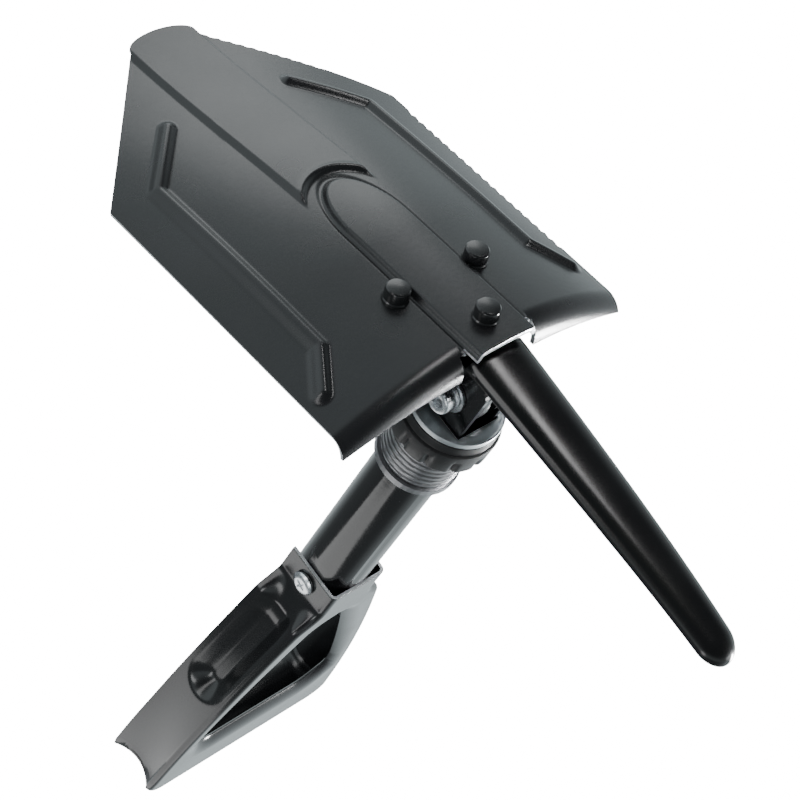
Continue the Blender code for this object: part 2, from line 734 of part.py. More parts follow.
def make_grip_fasteners(grip, shaft):
    head_face = -18.6
    head_seat = -16.15
    end = 20.2
    profile = [
        (0.0, head_face),
        (4.2, head_face),
        (5.8, head_face + 1.1),
        (5.8, head_seat),
        (GRIP_BOLT_R, head_seat),
        (GRIP_BOLT_R, end),
        (0.0, end),
    ]
    bolt = turned("grip_bolt", [(r, -h) for r, h in profile], sides=28)
    bolt.data.transform(Matrix.Rotation(-math.pi / 2.0, 4, "Y"))
    bolt.data.transform(Matrix.Translation((0.0, 0.0, GRIP_PIVOT_Z * MM)))
    for turn in (0.0, math.pi / 2.0):
        slot = box("cross_slot", (-22.0, -2.6, -0.5), (head_face + 1.3, 2.6, 0.5), CUTTERS)
        slot.data.transform(slot.matrix_world)
        slot.matrix_world = Matrix.Translation((0.0, 0.0, GRIP_PIVOT_Z * MM)) @ Matrix.Rotation(turn, 4, "X")
        combine(bolt, slot, "DIFFERENCE")
    finish(bolt, "zinc", grip)
    hex_nut("grip_bolt_nut", 16.15, 20.0, GRIP_PIVOT_Z, 10.0, GRIP_BOLT_R + GAP, grip)
    finish(ring("grip_spacer", 4.0, GRIP_BOLT_R + GAP, -13.8, 13.8, "X", (0.0, 0.0, GRIP_PIVOT_Z), 24), "steel", shaft)


def make_end_block(parent):
    """Block inside the lower end of the tube that holds the grip's spacer."""
    inner = TUBE_R - TUBE_WALL - GAP
    item = cylinder("tube_end_block", inner, GRIP_PIVOT_Z - 13.0, GRIP_PIVOT_Z + 22.0, sides=32)
    round_end = [(-20.0, GRIP_PIVOT_Z - 25.0), (20.0, GRIP_PIVOT_Z - 25.0), (20.0, GRIP_PIVOT_Z)]
    round_end += arc((0.0, GRIP_PIVOT_Z), 12.9, 0.0, -180.0, 16) + [(-20.0, GRIP_PIVOT_Z)]
    rounder = stand_up(outline_solid("block_rounder", round_end, 60.0, CUTTERS), 0.0)
    combine(item, rounder, "DIFFERENCE")
    bore = cylinder("bolt_bore", 4.3, -20.0, 20.0, centre=(0.0, GRIP_PIVOT_Z), axis="X", sides=20, collection=CUTTERS)
    combine(item, bore, "DIFFERENCE")
    return finish(item, "plastic", parent)


# ---------------------------------------------------------------- assembly

def main():
    shaft = body_empty("shaft_body", 0.0)
    head = body_empty("head_body", PIN_Z, -BLADE_DROP)
    pick = body_empty("pick_body", PIN_Z)
    grip = body_empty("grip_body", GRIP_PIVOT_Z)
    collar = body_empty("collar_body", PIN_Z)

    make_blade(head)
    make_blade_bracket(head)
    make_blade_rivet("blade_rivet_left", -RIVET_U, RIVET_V, head)
    make_blade_rivet("blade_rivet_right", RIVET_U, RIVET_V, head)
    make_blade_rivet("blade_rivet_front", 0.0, RIVET_FRONT_V, head)

    make_pick(pick)
    make_pick_bracket(pick)

    make_yoke(shaft)
    make_tube(shaft)
    make_sleeve(shaft)
    finish(cylinder("yoke_cross_pin", 2.0, -14.6, 14.6, centre=(0.0, PIN_Z - 45.0), axis="Y", sides=16), "steel", shaft)
    finish(ring("stop_ring", 18.6, TUBE_R + GAP, PIN_Z - 54.4, PIN_Z - 57.6), "steel", shaft)
    make_end_block(shaft)
    make_hinge_bolt(shaft)
    make_head_fasteners(shaft)

    make_disc(collar)
    make_nut(collar)

    make_grip(grip)
    make_grip_fasteners(grip, shaft)


main()
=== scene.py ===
"""Looks of the folding camp shovel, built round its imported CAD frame.

Lengths are in millimetres until a mesh is made. Textures, lights and the camera are in metres.
"""

import math

import bmesh
import bpy
import numpy as np
from mathutils import Matrix, Vector


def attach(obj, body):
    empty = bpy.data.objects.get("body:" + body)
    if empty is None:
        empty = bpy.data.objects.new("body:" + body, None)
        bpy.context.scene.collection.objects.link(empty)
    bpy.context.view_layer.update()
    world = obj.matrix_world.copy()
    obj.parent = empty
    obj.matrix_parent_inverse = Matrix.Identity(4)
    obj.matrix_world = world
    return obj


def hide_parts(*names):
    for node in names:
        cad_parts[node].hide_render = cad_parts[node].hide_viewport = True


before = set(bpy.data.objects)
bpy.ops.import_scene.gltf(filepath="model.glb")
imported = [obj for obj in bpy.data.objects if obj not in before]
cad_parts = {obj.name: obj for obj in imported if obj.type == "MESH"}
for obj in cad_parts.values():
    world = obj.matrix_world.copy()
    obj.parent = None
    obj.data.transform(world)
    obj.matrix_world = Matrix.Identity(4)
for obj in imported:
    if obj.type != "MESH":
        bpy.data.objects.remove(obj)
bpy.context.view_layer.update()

MM = 0.001
PIN_Z = 326.0  # hinge bolt of the head
PIVOT_Z = 167.5  # bolt of the D-grip
BLADE_DROP = math.radians(12.5)
RIM_SLOT = 1  # material slot of a sheet's cut edge; slot 0 is its two faces


# ---------------------------------------------------------------- mesh tools

def smoothstep(low, high, value):
    share = np.clip((value - low) / (high - low), 0.0, 1.0)
    return share * share * (3.0 - 2.0 * share)


def new_object(name, points, faces):
    mesh = bpy.data.meshes.new(name)
    mesh.from_pydata((np.asarray(points, float) * MM).tolist(), [], faces)
    mesh.validate()
    item = bpy.data.objects.new(name, mesh)
    bpy.context.scene.collection.objects.link(item)
    return item


def grid_faces(rows, cols, wrap=False, keep=None):
    faces = []
    for i in range(rows - 1):
        for j in range(cols if wrap else cols - 1):
            k = (j + 1) % cols
            if keep is None or keep[i, j]:
                faces.append((i * cols + j, i * cols + k, (i + 1) * cols + k, (i + 1) * cols + j))
    return faces


def bake_modifiers(item):
    bpy.context.view_layer.update()
    graph = bpy.context.evaluated_depsgraph_get()
    mesh = bpy.data.meshes.new_from_object(item.evaluated_get(graph))
    mesh.name = item.name
    item.modifiers.clear()
    item.data = mesh


def smooth(item, angle=38.0):
    item.data.shade_smooth()
    item.data.set_sharp_from_angle(angle=math.radians(angle))


def soften(item, width, segments=2, angle=45.0):
    """Round every hard edge a little, so that it catches the light."""
    bevel = item.modifiers.new("edges", "BEVEL")
    bevel.width = width * MM
    bevel.segments = segments
    bevel.limit_method = "ANGLE"
    bevel.angle_limit = math.radians(angle)
    bevel.use_clamp_overlap = True
    bevel.harden_normals = False


def thicken(item, thickness, offset=-1.0, even=True):
    solid = item.modifiers.new("sheet", "SOLIDIFY")
    solid.thickness = thickness * MM
    solid.offset = offset
    solid.use_even_offset = even
    solid.material_offset_rim = RIM_SLOT
    while len(item.data.materials) <= RIM_SLOT:
        item.data.materials.append(None)


def place(item, body, materials, replaced=(), matrix=None):
    """Give a piece its materials, place, body and the CAD nodes it stands for."""
    for index, material in enumerate(materials):
        if index < len(item.data.materials):
            item.data.materials[index] = material
        else:
            item.data.materials.append(material)
    if matrix is not None:
        item.data.transform(matrix)
    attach(item, body)
    if replaced:
        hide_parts(*replaced)


def clean_mesh(item, weld, thinnest=None):
    """Join points that lie together, drop faces without area and turn every face outwards."""
    work = bmesh.new()
    work.from_mesh(item.data)
    bmesh.ops.remove_doubles(work, verts=work.verts, dist=weld)
    if thinnest is not None:
        bmesh.ops.dissolve_degenerate(work, dist=thinnest, edges=work.edges)
    bmesh.ops.recalc_face_normals(work, faces=work.faces)
    work.to_mesh(item.data)
    work.free()


def fix_normals(item):
    clean_mesh(item, 0.000001)


def cut_away(item, cutters):
    """Take the cutters out of a piece with exact Booleans and delete them."""
    for cutter in cutters:
        fix_normals(cutter)
        cut = item.modifiers.new("cut", "BOOLEAN")
        cut.operation = "DIFFERENCE"
        cut.solver = "EXACT"
        cut.object = cutter
    bake_modifiers(item)
    for cutter in cutters:
        bpy.data.objects.remove(cutter, do_unlink=True)


HEAD = Matrix.Translation((0.0, 0.0, PIN_Z * MM)) @ Matrix.Rotation(-BLADE_DROP, 4, "X")
PIN = Matrix.Translation((0.0, 0.0, PIN_Z * MM))


def lathe(name, profile, axis="Z", centre=(0.0, 0.0, 0.0), sides=96, shape=None):
    """A turned piece; profile holds (radius, height) pairs.

    It runs down the outside and back up the bore, or from pole to pole. shape bends a radius round the turn.
    """
    solid = profile[0][0] == 0.0
    turn = np.linspace(0.0, 2.0 * math.pi, sides, endpoint=False)
    rings = profile[1:-1] if solid else list(profile) + [profile[0]]
    points = []
    for radius, height in (rings if solid else rings[:-1]):
        radii = radius if shape is None else shape(radius, height, turn)
        ring = np.stack([radii * np.cos(turn), radii * np.sin(turn), np.full(sides, float(height))], 1)
        points.append(ring)
    count = len(points)
    points = np.concatenate(points)
    faces = [tuple(reversed(f)) for f in grid_faces(count, sides, wrap=True)]
    if solid:
        top = len(points)
        points = np.concatenate([points, [[0.0, 0.0, profile[0][1]], [0.0, 0.0, profile[-1][1]]]])
        last = (count - 1) * sides
        for j in range(sides):
            k = (j + 1) % sides
            faces.append((top, j, k))
            faces.append((top + 1, last + k, last + j))
    else:
        last = (count - 1) * sides
        for j in range(sides):
            k = (j + 1) % sides
            faces.append((j, k, last + k, last + j))
    item = new_object(name, points, faces)
    if axis == "X":
        item.data.transform(Matrix.Rotation(-math.pi / 2.0, 4, "Y"))
    item.data.transform(Matrix.Translation(Vector(centre) * MM))
    return item


# ---------------------------------------------------------------- materials

def link_noise(tree, scale, detail, rough, distort=0.0):
    noise = tree.nodes.new("ShaderNodeTexNoise")
    noise.inputs["Scale"].default_value = scale
    noise.inputs["Detail"].default_value = detail
    noise.inputs["Roughness"].default_value = rough
    noise.inputs["Distortion"].default_value = distort
    coords = tree.nodes.new("ShaderNodeTexCoord")
    tree.links.new(coords.outputs["Object"], noise.inputs["Vector"])
    return noise.outputs["Fac"]


def link_range(tree, value, low, high, from_low=0.3, from_high=0.7):
    node = tree.nodes.new("ShaderNodeMapRange")
    node.inputs["From Min"].default_value = from_low
    node.inputs["From Max"].default_value = from_high
    node.inputs["To Min"].default_value = low
    node.inputs["To Max"].default_value = high
    tree.links.new(value, node.inputs["Value"])
    return node.outputs["Result"]


def link_math(tree, operation, first, second):
    node = tree.nodes.new("ShaderNodeMath")
    node.operation = operation
    for socket, value in zip(node.inputs, (first, second)):
        if isinstance(value, float):
            socket.default_value = value
        else:
            tree.links.new(value, socket)
    return node.outputs[0]


def link_colour(tree, factor, dark, light):
    mix = tree.nodes.new("ShaderNodeMix")
    mix.data_type = "RGBA"
    mix.inputs["A"].default_value = (*dark, 1.0)
    mix.inputs["B"].default_value = (*light, 1.0)
    tree.links.new(factor, mix.inputs["Factor"])
    return mix.outputs["Result"]


def link_bump(tree, height, strength, distance, below=None):
    bump = tree.nodes.new("ShaderNodeBump")
    bump.inputs["Strength"].default_value = strength
    bump.inputs["Distance"].default_value = distance
    tree.links.new(height, bump.inputs["Height"])
    if below is not None:
        tree.links.new(below, bump.inputs["Normal"])
    return bump.outputs["Normal"]


def new_material(name, roughness, metallic=0.0, coat=0.0, coat_roughness=0.1):
    material = bpy.data.materials.new(name)
    material.use_nodes = True
    shader = material.node_tree.nodes["Principled BSDF"]
    shader.inputs["Roughness"].default_value = roughness
    shader.inputs["Metallic"].default_value = metallic
    shader.inputs["Coat Weight"].default_value = coat
    shader.inputs["Coat Roughness"].default_value = coat_roughness
    return material, material.node_tree, shader


def coat_material(name, dark, light, rough, grain, orange_peel):
    """Sprayed coat: fine grain, slow orange peel, faint cloudiness and a few dull rubbed patches."""
    material, tree, shader = new_material(name, rough[0])
    cloud = link_noise(tree, 22.0, 4.0, 0.6)
    tone = link_colour(tree, link_range(tree, cloud, 0.0, 1.0), dark, light)
    tree.links.new(tone, shader.inputs["Base Color"])
    rub = link_noise(tree, 34.0, 3.0, 0.5, 0.4)
    tree.links.new(link_range(tree, rub, rough[0], rough[1], 0.2, 0.8), shader.inputs["Roughness"])
    peel = link_bump(tree, link_noise(tree, 420.0, 2.0, 0.5), orange_peel, 0.0002)
    fine = link_bump(tree, link_noise(tree, 2600.0, 2.0, 0.5), grain, 0.0001, peel)
    tree.links.new(fine, shader.inputs["Normal"])
    return material


def metal_material(name, dark, light, rough, scratch):
    """Plated or bare metal: blotchy tone, uneven polish and fine turned scratches."""
    material, tree, shader = new_material(name, rough[0], metallic=1.0)
    cloud = link_noise(tree, 140.0, 5.0, 0.65)
    tone = link_colour(tree, link_range(tree, cloud, 0.0, 1.0), dark, light)
    tree.links.new(tone, shader.inputs["Base Color"])
    polish = link_noise(tree, 380.0, 6.0, 0.7, 0.4)
    tree.links.new(link_range(tree, polish, rough[0], rough[1]), shader.inputs["Roughness"])
    lines = link_noise(tree, 1900.0, 3.0, 0.6, 1.5)
    tree.links.new(link_bump(tree, lines, scratch, 0.0001), shader.inputs["Normal"])
    return material


def plastic_material(name, dark, light, rough):
    """Moulded plastic: even tone with a spark-eroded grain."""
    material, tree, shader = new_material(name, rough[0])
    cloud = link_noise(tree, 40.0, 3.0, 0.5)
    tone = link_colour(tree, link_range(tree, cloud, 0.0, 1.0), dark, light)
    tree.links.new(tone, shader.inputs["Base Color"])
    tree.links.new(link_range(tree, link_noise(tree, 250.0, 4.0, 0.6), *rough), shader.inputs["Roughness"])
    grain = link_bump(tree, link_noise(tree, 1500.0, 3.0, 0.6), 0.35, 0.0002)
    tree.links.new(grain, shader.inputs["Normal"])
    return material


def worn_edge_and_highlight_material(name, coat, metal, cover):
    """Cut edge of a coated sheet: coat with bare metal showing through in patches; a light grey coat colour
    makes the edge a painted highlight.
    """
    material, tree, shader = new_material(name, 0.3)
    patch = link_range(tree, link_noise(tree, 170.0, 6.0, 0.7, 0.3), 0.0, 1.0, cover - 0.06, cover + 0.06)
    tree.links.new(link_colour(tree, patch, coat, metal), shader.inputs["Base Color"])
    tree.links.new(link_range(tree, patch, 0.0, 0.45, 0.0, 1.0), shader.inputs["Metallic"])
    polish = link_noise(tree, 500.0, 4.0, 0.6)
    tree.links.new(link_range(tree, polish, 0.25, 0.42), shader.inputs["Roughness"])
    tree.links.new(link_bump(tree, link_noise(tree, 1200.0, 3.0, 0.6), 0.3, 0.0001), shader.inputs["Normal"])
    return material


POWDER = coat_material(
    "satin_powder_coat", (0.010, 0.0105, 0.0115), (0.015, 0.0155, 0.017), (0.22, 0.29), 0.20, 0.10,
)
SEMI = coat_material(
    "smooth_black_coat", (0.006, 0.006, 0.0065), (0.010, 0.010, 0.011), (0.22, 0.34), 0.10, 0.08,
)
PICK_COAT = coat_material(
    "pick_black_coat", (0.004, 0.004, 0.0045), (0.007, 0.007, 0.0075), (0.17, 0.27), 0.05, 0.06,
)
GLOSS = coat_material(
    "gloss_black_coat", (0.005, 0.005, 0.0055), (0.008, 0.008, 0.0085), (0.08, 0.2), 0.04, 0.10,
)
GRIP_COAT = coat_material(
    "grip_black_coat", (0.008, 0.0085, 0.009), (0.013, 0.0135, 0.0145), (0.13, 0.24), 0.05, 0.08,
)
RIVET_COAT = coat_material(
    "rivet_black_coat", (0.008, 0.0085, 0.009), (0.012, 0.0125, 0.0135), (0.14, 0.24), 0.10, 0.08,
)
PLASTIC = plastic_material(
    "moulded_black_plastic", (0.010, 0.010, 0.010), (0.017, 0.017, 0.018), (0.38, 0.52),
)
ZINC = metal_material(
    "bright_zinc_plate", (0.66, 0.69, 0.71), (0.78, 0.80, 0.82), (0.20, 0.34), 0.12,
)
DARK_ZINC = metal_material(
    "dull_zinc_plate", (0.60, 0.64, 0.66), (0.68, 0.72, 0.74), (0.36, 0.42), 0.06,
)
STEEL = metal_material(
    "turned_steel", (0.30, 0.30, 0.31), (0.42, 0.42, 0.43), (0.28, 0.45), 0.25,
)
COAT_EDGE = worn_edge_and_highlight_material(
    "coated_cut_edge", (0.012, 0.012, 0.013), (0.55, 0.56, 0.58), 0.68,
)
BARE_EDGE = worn_edge_and_highlight_material(
    "bare_cut_edge", (0.02, 0.02, 0.021), (0.74, 0.76, 0.78), 0.36,
)
# Top rim of the grip in light grey to near white: bare cut edge, with a painted highlight along it.
GRIP_BARE_EDGE_AND_HIGHLIGHT = worn_edge_and_highlight_material(
    "grip_cut_edge_and_painted_highlight", (0.5, 0.51, 0.52), (0.88, 0.9, 0.92), 0.30,
)


# ---------------------------------------------------------------- blade

# Stations v run along the blade from the hinge bolt's line, u runs across it and w stands up from it.
HALF = 76.0
SHOULDER_V = 134.0
TIP_V = 199.0
END_V = 205.5
TIP_HALF = 17.0
EDGE_W = 12.0
CROWN = (18.5, 8.0)  # height of the middle over the edges, near the hinge and at the tip
CROWN_START = 55.0
BLADE_SHEET = 2.0
BASE_V = 2.0  # where the base flange starts to bend
BEND_R = 9.5
BEND = math.radians(84.0)
FLANGE_STATIONS = 13.0
FLANGE = (16.5, 11.0)  # length along the bend, beside the notch and at the corner
TONGUE_LENGTH = 10.5  # what the tongue adds past the bend line
NOTCH = (16.0, 19.6)
NOTCH_START = -4.5
PRESS_RISE = 2.0
ARCH_V = 78.0  # centre of the channel's crescent end
ARCH_R = 20.0
CHANNEL_HALF = 16.9
LIP_RISE = 0.35
TONGUE_HALF = 15.3
TONGUE_ROUND_V = 66.0  # where the tongue's sides start to close
TONGUE_ROUND = 28.0
GROOVE_DEPTH = 0.6
BEAD = ((32.6, 155.0), (57.0, 130.0), (57.4, 33.0), (68.5, 17.0))
BEAD_RISE = 2.5
BEAD_HALF = (0.3, 4.6)  # crest and foot, from the bead's middle line
TOOTH_PITCH = 5.0
TOOTH_DEPTH = 1.6
TOOTH_STEP = 0.22  # share of the pitch that the steep side takes
TOOTH_SPAN = (29.0, 124.0)
SCALLOP_SPAN = (157.0, 195.0)
SCALLOP_DEPTH = 0.9
SCALLOPS = 10.0
RIVET_RISE = 6.1
RIVETS = (("left", -21.4, 32.0), ("right", 21.4, 32.0), ("front", 0.0, 5.0))


def blade_half(v):
    taper = HALF + (TIP_HALF - HALF) * (v - SHOULDER_V) / (TIP_V - SHOULDER_V)
    share = np.clip((v - TIP_V) / (END_V - TIP_V), 0.0, 1.0)
    cap = TIP_HALF * np.sqrt(np.maximum(1.0 - share * share, 0.004))
    return np.where(v < SHOULDER_V, HALF, np.where(v < TIP_V, taper, cap))


def dish(v):
    share = np.clip((v - CROWN_START) / (END_V - CROWN_START), 0.0, 1.0)
    return CROWN[0] + (CROWN[1] - CROWN[0]) * share * share * (3.0 - 2.0 * share)


def segment_distance(u, v, a, b):
    du, dv = b[0] - a[0], b[1] - a[1]
    share = np.clip(((u - a[0]) * du + (v - a[1]) * dv) / (du * du + dv * dv), 0.0, 1.0)
    return np.hypot(u - a[0] - share * du, v - a[1] - share * dv)


def pressed_marks(u, v):
    """Height that the pressing adds: channel with its crescent end, tongue, and a bead on each side."""
    side = np.abs(u)
    arch = np.hypot(u, v - ARCH_V) - ARCH_R
    above = v > ARCH_V
    channel = PRESS_RISE * smoothstep(-1.9, 0.3, CHANNEL_HALF - side) * smoothstep(-0.4, 2.9, arch) * above
    lip = LIP_RISE * np.exp(-((arch - 2.2) / 1.5) ** 2) * smoothstep(-1.6, 1.4, CHANNEL_HALF - side) * above
    closing = np.maximum(v - TONGUE_ROUND_V, 0.0) / TONGUE_ROUND
    nose = (1.0 - np.hypot(u / TONGUE_HALF, closing)) * TONGUE_HALF
    tongue = PRESS_RISE * smoothstep(0.0, 1.25, nose)
    groove = -GROOVE_DEPTH * np.exp(-((nose + 0.7) / 0.8) ** 2)
    bead = np.min([segment_distance(side, v, a, b) for a, b in zip(BEAD, BEAD[1:])], axis=0)
    ridge = BEAD_RISE * (1.0 - smoothstep(*BEAD_HALF, bead))
    fade = smoothstep(-12.0, BASE_V, v)
    return channel + lip + (tongue + groove) + ridge * fade


def tooth_inset(v):
    """Saw teeth: a slow ramp out and a quick step back, in place of the straight edge."""
    share = ((v - TOOTH_SPAN[0]) / TOOTH_PITCH) % 1.0
    shape = np.where(share < TOOTH_STEP, share / TOOTH_STEP, (1.0 - share) / (1.0 - TOOTH_STEP))
    return np.where((v > TOOTH_SPAN[0]) & (v < TOOTH_SPAN[1]), TOOTH_DEPTH * shape, 0.0)


def scallop_inset(v):
    """Shallow scallops along the sloping edge of the tip on the toothed side."""
    along = (v - SCALLOP_SPAN[0]) / (SCALLOP_SPAN[1] - SCALLOP_SPAN[0])
    wave = 0.5 - 0.5 * np.cos(along * 2.0 * math.pi * SCALLOPS)
    return np.where((along > 0.0) & (along < 1.0), SCALLOP_DEPTH * wave ** 0.7, 0.0)


def blade_columns(count=236):
    """Shares of the half width, closer together beside the tongue and at the notch."""
    u = np.linspace(-HALF, HALF, count)
    fine = np.linspace(13.2, 19.0, 15)
    u = np.sort(np.concatenate([u[(np.abs(u) < fine[0]) | (np.abs(u) > fine[-1])], fine, -fine]))
    for edge in (NOTCH[0], NOTCH[1]):
        for sign in (-1.0, 1.0):
            u[np.argmin(np.abs(u - sign * edge))] = sign * edge
    return u / HALF


def blade_rows():
    """Stations from the flange's free edge (negative, along the bend) to the tip."""
    flange = np.linspace(-FLANGE_STATIONS, 0.0, 22, endpoint=False)
    body = np.linspace(0.0, TIP_V - BASE_V, 300, endpoint=False)
    angle = np.linspace(0.0, math.pi / 2.0, 14)
    tip = TIP_V - BASE_V + (END_V - TIP_V) * np.sin(angle)
    return np.concatenate([flange, body, tip])


def make_blade():
    shares = blade_columns()
    along = blade_rows()
    s, t = np.meshgrid(shares, along)
    v = np.maximum(t, 0.0) + BASE_V
    half = blade_half(v)
    u = s * half
    right = smoothstep(0.80, 1.0, s)
    u = u - right * (tooth_inset(v) + scallop_inset(v))
    w = EDGE_W + dish(v) * (1.0 - (u / HALF) ** 2) + pressed_marks(u, v)
    side = np.abs(u)
    outward = (side - NOTCH[1]) / (HALF - NOTCH[1])
    length = np.where(side > NOTCH[0] + 1.0, FLANGE[0] + (FLANGE[1] - FLANGE[0]) * outward, TONGUE_LENGTH)
    run = np.where(t < 0.0, -t / FLANGE_STATIONS * length, 0.0)
    flat = side < sum(NOTCH) / 2.0
    arc = np.minimum(run / BEND_R, BEND)
    straight = run - arc * BEND_R
    bent_v = BASE_V - BEND_R * np.sin(arc) - straight * np.cos(arc)
    drop = BEND_R * (1.0 - np.cos(arc)) + straight * np.sin(arc)
    v = np.where(t < 0.0, np.where(flat, BASE_V - run, bent_v), v)
    w = np.where((t < 0.0) & ~flat, w - drop, w)
    rows, cols = s.shape
    between = np.abs(shares[:-1] + shares[1:]) / 2.0 * HALF
    gap = (between > NOTCH[0]) & (between < NOTCH[1])
    keep = ~((along[:-1, None] < NOTCH_START) & gap[None, :])
    points = np.stack([u, v, w], -1).reshape(-1, 3)
    item = new_object("spade_blade", points, grid_faces(rows, cols, keep=keep))
    thicken(item, BLADE_SHEET)
    soften(item, 0.45, 2, 60.0)
    bake_modifiers(item)
    smooth(item, 50.0)
    place(item, "blade", (POWDER, BARE_EDGE), ("blade",), HEAD)


def surface_height(u, v):
    point = np.array([u]), np.array([v])
    return float((EDGE_W + dish(point[1]) * (1.0 - (point[0] / HALF) ** 2) + pressed_marks(*point))[0])


def make_rivet(label, u, v):
    """Tall flat head with a chamfer and a slim foot, seated on the sheet."""
    seat = surface_height(u, v) - 0.9
    top = surface_height(u, v) + RIVET_RISE
    profile = [
        (0.0, top), (4.2, top), (4.45, top - 0.06), (4.95, top - 0.5), (5.1, top - 0.9),
        (5.15, seat + 1.9), (5.5, seat + 1.4), (5.6, seat), (2.3, seat), (2.3, 23.4),
        (4.2, 23.2), (4.2, 22.4), (3.4, 21.9), (0.0, 21.9),
    ]
    item = lathe("rivet_" + label, profile, centre=(u, v, 0.0), sides=72)
    smooth(item, 22.0)
    place(item, "blade", (RIVET_COAT,), ("blade_rivet_" + label,), HEAD)


# ---------------------------------------------------------------- pick

PICK_START = 0.2
PICK_END = -145.0
PICK_CLOSE = 0.93  # share of the length where the round tip starts
PICK_HALF = 14.8
PICK_TAPER = 6.2  # how much of the half width is lost by the tip
PICK_TOP = 26.8  # heights of the crest and of the free edges over the hinge bolt
PICK_EDGE = 20.5
PICK_SHEET = 2.2


def make_pick():
    """Channel section with rolled shoulders that narrows, dips and closes to a round tip."""
    body = np.linspace(0.0, PICK_CLOSE, 90, endpoint=False)
    tip = PICK_CLOSE + (1.0 - PICK_CLOSE) * np.sin(np.linspace(0.0, math.pi / 2.0, 26))
    share = np.concatenate([body, tip])
    half = PICK_HALF - PICK_TAPER * share ** 1.25
    top = PICK_TOP + 0.6 * share - 5.0 * share ** 3
    edge = PICK_EDGE + 0.6 * share - 4.6 * share ** 4
    past = np.maximum(share - PICK_CLOSE, 0.0) / (1.0 - PICK_CLOSE)
    cap = np.sqrt(np.clip(1.0 - past ** 2, 0.0016, 1.0))
    half = half * cap
    top = edge + (top - edge) * cap ** 0.75
    angle = np.linspace(0.0, math.pi, 65)
    across = np.sign(np.cos(angle)) * np.abs(np.cos(angle)) ** 0.94
    up = np.clip(np.sin(angle), 0.0, 1.0) ** 0.88
    x = half[:, None] * across[None, :]
    y = (PICK_START + (PICK_END - PICK_START) * share)[:, None] + 0.0 * x
    z = edge[:, None] + (top - edge)[:, None] * up[None, :]
    points = np.stack([x, y, z], -1).reshape(-1, 3)
    item = new_object("pick_spike", points, grid_faces(len(share), len(angle)))
    thicken(item, PICK_SHEET)
    soften(item, 0.5, 2, 60.0)
    bake_modifiers(item)
    smooth(item, 50.0)
    place(item, "pick", (PICK_COAT, COAT_EDGE), ("pick",), PIN)


# ---------------------------------------------------------------- collar and shaft

DISC_TOP = PIN_Z - 14.1
DISC_R = 20.5
DISC_OPENING = (11.4, 13.5)  # half sizes of the opening along X and Y
NUT_TOP = PIN_Z - 16.6
NUT_HEIGHT = 16.0
NUT_NECK = 8.2  # the finger flutes start this far below the top
NUT_FLUTES = 12.0
SLEEVE_TOP = PIN_Z - 27.4
SLEEVE_LOW = PIN_Z - 53.9
THREAD_R = 17.4
THREAD_DEPTH = 1.0
THREAD_PITCH = 3.0
TUBE_R = 15.0
TUBE_BORE = 13.5
TUBE_TOP = PIN_Z - 27.3
TUBE_LOW = PIVOT_Z - 16.0
TUBE_END_R = 14.0
TUBE_FLAT_X = 14.05
TUBE_FLAT_Y = -14.3
TUBE_FLAT_TOP = (185.5, 179.0)  # where the flats in X and in Y run out
TUBE_HOLE_R = 4.3


def make_disc():
    """Dished zinc disc with a rolled rim; share 0 is its rectangular opening and share 1 its outside."""
    top = DISC_TOP
    sides = 144
    turn = np.linspace(0.0, 2.0 * math.pi, sides, endpoint=False)
    to_x = DISC_OPENING[0] / np.maximum(np.abs(np.cos(turn)), 1e-6)
    to_y = DISC_OPENING[1] / np.maximum(np.abs(np.sin(turn)), 1e-6)
    opening = np.minimum(to_x, to_y)
    rings = [
        (0.0, top - 0.2), (0.25, top), (0.5, top - 0.1), (0.72, top - 0.9), (0.86, top - 0.9),
        (0.93, top - 0.2), (0.97, top + 0.6), (1.0, top + 0.3), (1.0, top - 2.0), (0.97, top - 2.2),
        (0.0, top - 2.2),
    ]
    points = []
    for share, height in rings:
        radius = opening + (DISC_R - opening) * share
        points.append(np.stack([radius * np.cos(turn), radius * np.sin(turn), np.full(sides, height)], 1))
    points = np.concatenate(points)
    faces = grid_faces(len(rings), sides, wrap=True)
    last = (len(rings) - 1) * sides
    faces += [((j + 1) % sides, last + (j + 1) % sides, last + j, j) for j in range(sides)]
    item = new_object("collar_disc", points, faces)
    fix_normals(item)
    soften(item, 0.15, 2, 50.0)
    bake_modifiers(item)
    smooth(item, 35.0)
    place(item, "disc", (DARK_ZINC,), ("pressure_disc",))


def make_nut():
    """Hand nut: stepped upper ring, and finger flutes round the lower ring."""
    top = NUT_TOP
    low = top - NUT_HEIGHT

    def flutes(radius, height, turn):
        depth = 1.5 if height < top - NUT_NECK and radius > 20.0 else 0.0
        return radius - depth * np.maximum(np.cos(NUT_FLUTES * turn), 0.0) ** 4

    profile = [
        (19.9, top), (20.6, top - 0.2), (20.9, top - 0.8), (20.9, top - 3.6), (21.1, top - 4.0),
        (21.9, top - 4.2), (22.3, top - 4.6), (22.4, top - 5.2), (22.4, top - 8.0), (22.4, top - 8.8),
        (22.4, top - 14.6), (22.1, low + 0.6), (21.4, low), (17.9, low), (17.8, low + 0.3),
        (17.8, top - 0.3), (18.1, top),
    ]
    item = lathe("hand_nut", profile, sides=192, shape=flutes)
    fix_normals(item)
    smooth(item, 32.0)
    place(item, "nut", (PLASTIC,), ("lock_nut",))


